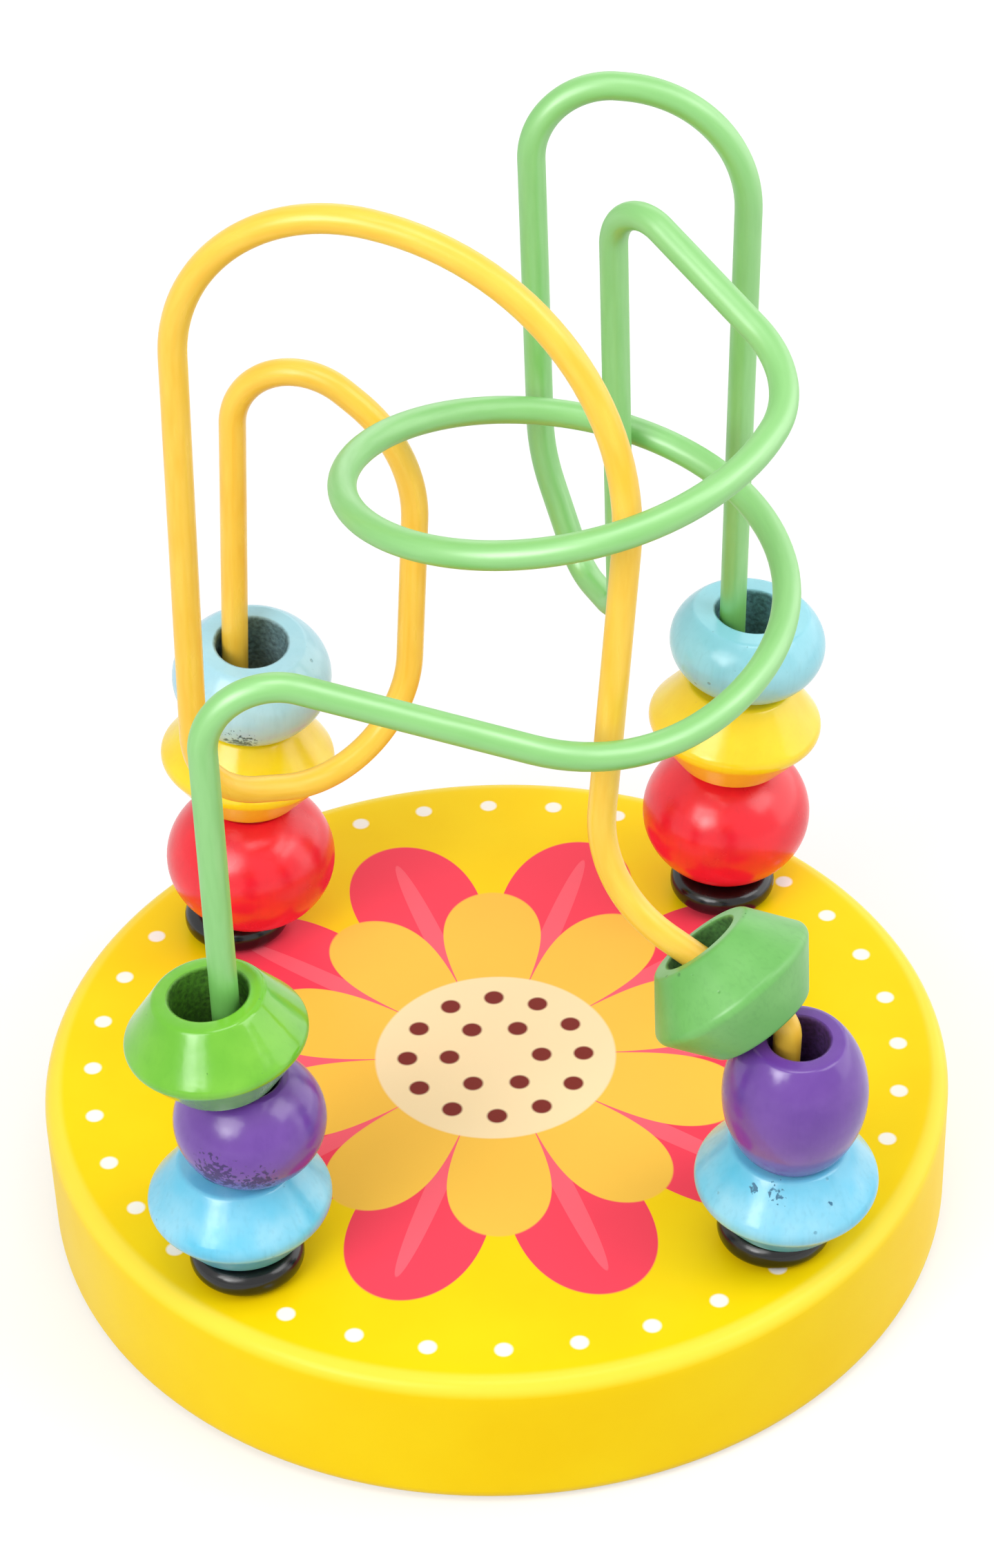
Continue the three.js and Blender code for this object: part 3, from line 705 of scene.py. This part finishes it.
def printedEnamelOnBeech(look):
    # sprayed satin enamel on a turned beech disc, with a screen-printed flower on its top: flat
    # even colour, a soft broad sheen and clean ink edges
    material, tree = newMaterial("printedYellowEnamelOnBeech")
    point = addNode(tree, "ShaderNodeTexCoord").outputs["Object"]
    scaled = addNode(tree, "ShaderNodeVectorMath", {0: point, "Scale": 1 / mm}, operation="SCALE").outputs[0]
    split = addNode(tree, "ShaderNodeSeparateXYZ", {0: scaled}).outputs
    flat = addNode(tree, "ShaderNodeCombineXYZ", {0: split["X"], 1: split["Y"]}).outputs[0]
    radius = addNode(tree, "ShaderNodeVectorMath", {0: flat}, operation="LENGTH").outputs["Value"]
    turn = addNode(tree, "ShaderNodeMath", {0: split["Y"], 1: split["X"]}, operation="ARCTAN2").outputs[0]

    cloud = addNode(tree, "ShaderNodeTexNoise",
                    {"Vector": scaled, "Scale": 1 / look["cloud"], "Detail": 3.0}).outputs["Fac"]
    peel = addNode(tree, "ShaderNodeTexNoise",
                   {"Vector": scaled, "Scale": 1 / look["peel"], "Detail": 2.0}).outputs["Fac"]
    colour, gloss = unevenCoat(tree, cloud, look, look)

    count = flower["petals"]
    between = math.pi / 2  # sets the inner petals between the outer ones
    inks = [
        (petalMask(tree, radius, turn, count, 0, flower["outerReach"], flower["outerBlunt"]),
         flower["outerHex"]),
        (petalMask(tree, radius, turn, count, 0, flower["veinReach"], flower["veinBlunt"]),
         flower["veinHex"]),
        (petalMask(tree, radius, turn, count, between, flower["middleReach"], flower["middleBlunt"]),
         flower["middleHex"]),
        # no petals: a plain disc
        (petalMask(tree, radius, turn, 0, 0, flower["heartRadius"], 1), flower["heartHex"]),
        *[(dotRingMask(tree, radius, turn, seeds, ring, flower["seedRadius"]), flower["seedHex"])
          for seeds, ring in flower["seedRings"]],
        (dotRingMask(tree, radius, turn, flower["dotCount"], flower["dotRing"], flower["dotRadius"]),
         flower["dotHex"]),
    ]
    onTop = addNode(tree, "ShaderNodeMath", {0: split["Z"], 1: baseTop - look["inkDepth"]},
                    operation="GREATER_THAN").outputs[0]
    for mask, inkHex in inks:
        printed = addNode(tree, "ShaderNodeMath", {0: mask, 1: onTop}, operation="MULTIPLY").outputs[0]
        colour = addNode(tree, "ShaderNodeMix", {0: printed, 6: colour, 7: linear(inkHex)},
                         data_type="RGBA").outputs[2]

    # the rounded edge is rubbed smooth by hands, and painted lighter as a painted highlight along it
    outward = addNode(tree, "ShaderNodeMapRange", {
        "Value": radius, "From Min": look["edgeFrom"], "From Max": look["edgeFull"]},
        interpolation_type="SMOOTHSTEP").outputs[0]
    lowest, full = look["edgeDrop"]
    upward = addNode(tree, "ShaderNodeMapRange", {
        "Value": split["Z"], "From Min": baseTop - lowest, "From Max": baseTop - full},
        interpolation_type="SMOOTHSTEP").outputs[0]
    rubbed = addNode(tree, "ShaderNodeMath", {0: outward, 1: upward}, operation="MULTIPLY").outputs[0]
    paintedEdgeHighlight = addNode(tree, "ShaderNodeMath", {0: rubbed, 1: look["edgeHighlightShare"]},
                    operation="MULTIPLY").outputs[0]
    colour = addNode(tree, "ShaderNodeMix", {0: paintedEdgeHighlight, 6: colour, 7: linear(look["edgeHighlightHex"])},
                     data_type="RGBA").outputs[2]

    gloss = addNode(tree, "ShaderNodeMath", {0: rubbed, 1: -look["edgeSmoother"], 2: gloss},
                    operation="MULTIPLY_ADD").outputs[0]
    bump = addNode(tree, "ShaderNodeBump",
                   {"Height": peel, "Distance": look["peelHeight"] * mm, "Strength": 1.0}).outputs[0]
    shader = addNode(tree, "ShaderNodeBsdfPrincipled", {
        "Base Color": colour, "Roughness": gloss, "Normal": bump, "IOR": look["ior"]})
    addNode(tree, "ShaderNodeOutputMaterial", {"Surface": shader.outputs[0]})
    return material


def drilled(mesh):
    # cuts the blind holes that the four wire ends stand in, along the wires
    bm = bmesh.new()
    radius = (wires["radius"] + base["holeClearance"]) * mm
    depth = base["holeDepth"] + base["drillAbove"]
    for corners in (yellowCorners(), greenCorners()):
        for (end, _), (aim, _) in (corners[:2], corners[:-3:-1]):
            along = (aim - end).normalized()
            bottom = end - along * (base["holeDepth"] - wires["endDepth"])
            place = along.to_track_quat("Z", "Y").to_matrix().to_4x4()
            place.translation = (bottom + along * depth / 2) * mm
            bmesh.ops.create_cone(bm, cap_ends=True, segments=base["holeSides"], radius1=radius,
                                  radius2=radius, depth=depth * mm, matrix=place)
    drillMesh = bpy.data.meshes.new("drills")
    bm.to_mesh(drillMesh)
    bm.free()
    solid = bpy.data.objects.new("plainBase", mesh)
    drills = bpy.data.objects.new("drills", drillMesh)
    for thing in (solid, drills):
        bpy.context.scene.collection.objects.link(thing)
    cut = solid.modifiers.new("holes", "BOOLEAN")
    cut.object = drills
    cut.operation = "DIFFERENCE"
    cut.solver = "EXACT"
    depsgraph = bpy.context.evaluated_depsgraph_get()
    result = bpy.data.meshes.new_from_object(solid.evaluated_get(depsgraph), depsgraph=depsgraph)
    for thing in (solid, drills):
        bpy.data.objects.remove(thing)
    for plain in (mesh, drillMesh):
        bpy.data.meshes.remove(plain)
    return result


def addBase():
    low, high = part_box("base_disc")
    rim = (high.x - low.x) / 2
    rounding = base["edgeRounding"]
    corners = [(Vector((0, 0, low.z)), 0), (Vector((rim, 0, low.z)), rounding),
               (Vector((rim, 0, high.z)), rounding), (Vector((0, 0, high.z)), 0)]
    profile = roundedPath(corners, base["turnStep"], base["spacing"])
    mesh = drilled(turnedMesh("base_plain", profile, base["sides"], closed=False))
    mesh.name = "base_disc"
    addPiece(mesh, "base_disc", "frame", printedEnamelOnBeech(base))


addBase()
print("base turned and printed")


# studio: white floor, two softboxes, a small window, three panels above and behind, and a white room

studio = {
    "roomStrength": 0.5,
    "floorHex": "#bebebe", "floorLift": 0.48, "farLift": 0.85, "floorSize": 6.0,
    "fibre": 1.1, "fibreHeight": 0.02,  # mm, coarser than paper's, so that it shows
    "fibreStrength": 0.5,
    "liftFrom": 0.15, "liftTo": 0.6,    # m from the toy, between which the floor's lift rises
    "panels": [
        {"name": "leftSoftbox", "toward": (-0.48, -0.64, 0.60), "distance": 0.62, "size": (0.38, 0.28),
         "watts": 1.65},
        {"name": "windowCard", "toward": (-0.55, -0.72, 0.43), "distance": 0.62, "size": (0.15, 0.19),
         "watts": 0.5},
        {"name": "rightSoftbox", "toward": (0.93, 0.30, 0.20), "distance": 0.62, "size": (0.80, 0.60),
         "watts": 1.9},
        {"name": "backPanel", "toward": (0.15, 0.90, 0.42), "distance": 0.70, "size": (0.60, 0.40),
         "watts": 0.75},
        {"name": "topPanel", "toward": (0.1, -0.25, 0.95), "distance": 0.75, "size": (0.40, 0.28),
         "watts": 1.15},
        {"name": "upperRightPanel", "toward": (0.70, -0.20, 0.68), "distance": 0.70, "size": (0.36, 0.30),
         "watts": 1.1},
    ],
    "aim": (0.0, 0.0, 0.045),
}


def whiteFloor(look):
    # matt white paper sweep: takes the toy's soft shadow, and is lifted to white for the rays that
    # show it, more so far from the toy
    material, tree = newMaterial("mattWhitePaper")
    point = addNode(tree, "ShaderNodeTexCoord").outputs["Object"]
    fibre = addNode(tree, "ShaderNodeTexNoise",
                    {"Vector": point, "Scale": 1 / (look["fibre"] * mm), "Detail": 2.0}).outputs["Fac"]
    bump = addNode(tree, "ShaderNodeBump",
                   {"Height": fibre, "Distance": look["fibreHeight"] * mm,
                    "Strength": look["fibreStrength"]}).outputs[0]
    paper = addNode(tree, "ShaderNodeBsdfDiffuse",
                    {"Color": linear(look["floorHex"]), "Normal": bump}).outputs[0]
    away = addNode(tree, "ShaderNodeVectorMath", {0: point}, operation="LENGTH").outputs["Value"]
    level = addNode(tree, "ShaderNodeMapRange", {
        "Value": away, "From Min": look["liftFrom"], "From Max": look["liftTo"],
        "To Min": look["floorLift"], "To Max": look["farLift"]}).outputs[0]
    lift = addNode(tree, "ShaderNodeMath", {0: seenRays(tree), 1: level}, operation="MULTIPLY").outputs[0]
    glow = addNode(tree, "ShaderNodeEmission", {"Strength": lift}).outputs[0]
    both = addNode(tree, "ShaderNodeAddShader", {0: paper, 1: glow}).outputs[0]
    addNode(tree, "ShaderNodeOutputMaterial", {"Surface": both})
    return material


def addFloor():
    half = studio["floorSize"] / 2
    mesh = bpy.data.meshes.new("studioFloor")
    corners = [(-half, -half, 0), (half, -half, 0), (half, half, 0), (-half, half, 0)]
    mesh.from_pydata(corners, [], [(0, 1, 2, 3)])
    floor = bpy.data.objects.new("studioFloor", mesh)
    bpy.context.scene.collection.objects.link(floor)
    floor.location.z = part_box("base_disc")[0].z
    mesh.materials.append(whiteFloor(studio))


def addPanel(look):
    lamp = bpy.data.lights.new(look["name"], "AREA")
    lamp.shape = "RECTANGLE"
    lamp.size, lamp.size_y = look["size"]
    lamp.energy = look["watts"]
    panel = bpy.data.objects.new(look["name"], lamp)
    bpy.context.scene.collection.objects.link(panel)
    toward = Vector(look["toward"]).normalized()
    panel.location = Vector(studio["aim"]) + toward * look["distance"]
    panel.rotation_euler = toward.to_track_quat("Z", "Y").to_euler()


def addRoom():
    world = bpy.data.worlds.new("whiteRoom")
    bpy.context.scene.world = world
    world.use_nodes = True
    tree = world.node_tree
    tree.nodes.clear()
    # a strength of 1 is white
    strength = addNode(tree, "ShaderNodeMapRange", {
        "Value": seenRays(tree), "To Min": studio["roomStrength"], "To Max": 1.0}).outputs[0]
    glow = addNode(tree, "ShaderNodeBackground", {"Color": (1, 1, 1, 1), "Strength": strength}).outputs[0]
    addNode(tree, "ShaderNodeOutputWorld", {"Surface": glow})


addFloor()
addRoom()
for panelLook in studio["panels"]:
    addPanel(panelLook)
print("studio set")


# camera of the photograph

photoView = {
    "eye": (0.99, -290.91, 277.34),        # mm
    "elevation": math.radians(38.02),
    "roll": math.radians(-1.78),
    "focalPixels": 5668.1, "framePixels": 2271, "sensor": 36.0,
    "clip": (0.01, 50),                    # m
}


def addCamera():
    ahead = Vector((0, math.cos(photoView["elevation"]), -math.sin(photoView["elevation"])))
    level = Vector((1, 0, 0))
    above = level.cross(ahead)
    c, s = math.cos(photoView["roll"]), math.sin(photoView["roll"])
    right, up = level * c + above * s, above * c - level * s
    data = bpy.data.cameras.new("photoCamera")
    data.sensor_width = photoView["sensor"]
    data.lens = photoView["focalPixels"] / photoView["framePixels"] * photoView["sensor"]
    data.clip_start, data.clip_end = photoView["clip"]
    camera = bpy.data.objects.new("photoCamera", data)
    bpy.context.scene.collection.objects.link(camera)
    place = Matrix((right, up, -ahead)).transposed().to_4x4()
    place.translation = Vector(photoView["eye"]) * mm
    camera.matrix_world = place
    bpy.context.scene.camera = camera


addCamera()
bpy.context.scene.view_settings.view_transform = "Standard"
print("camera placed")
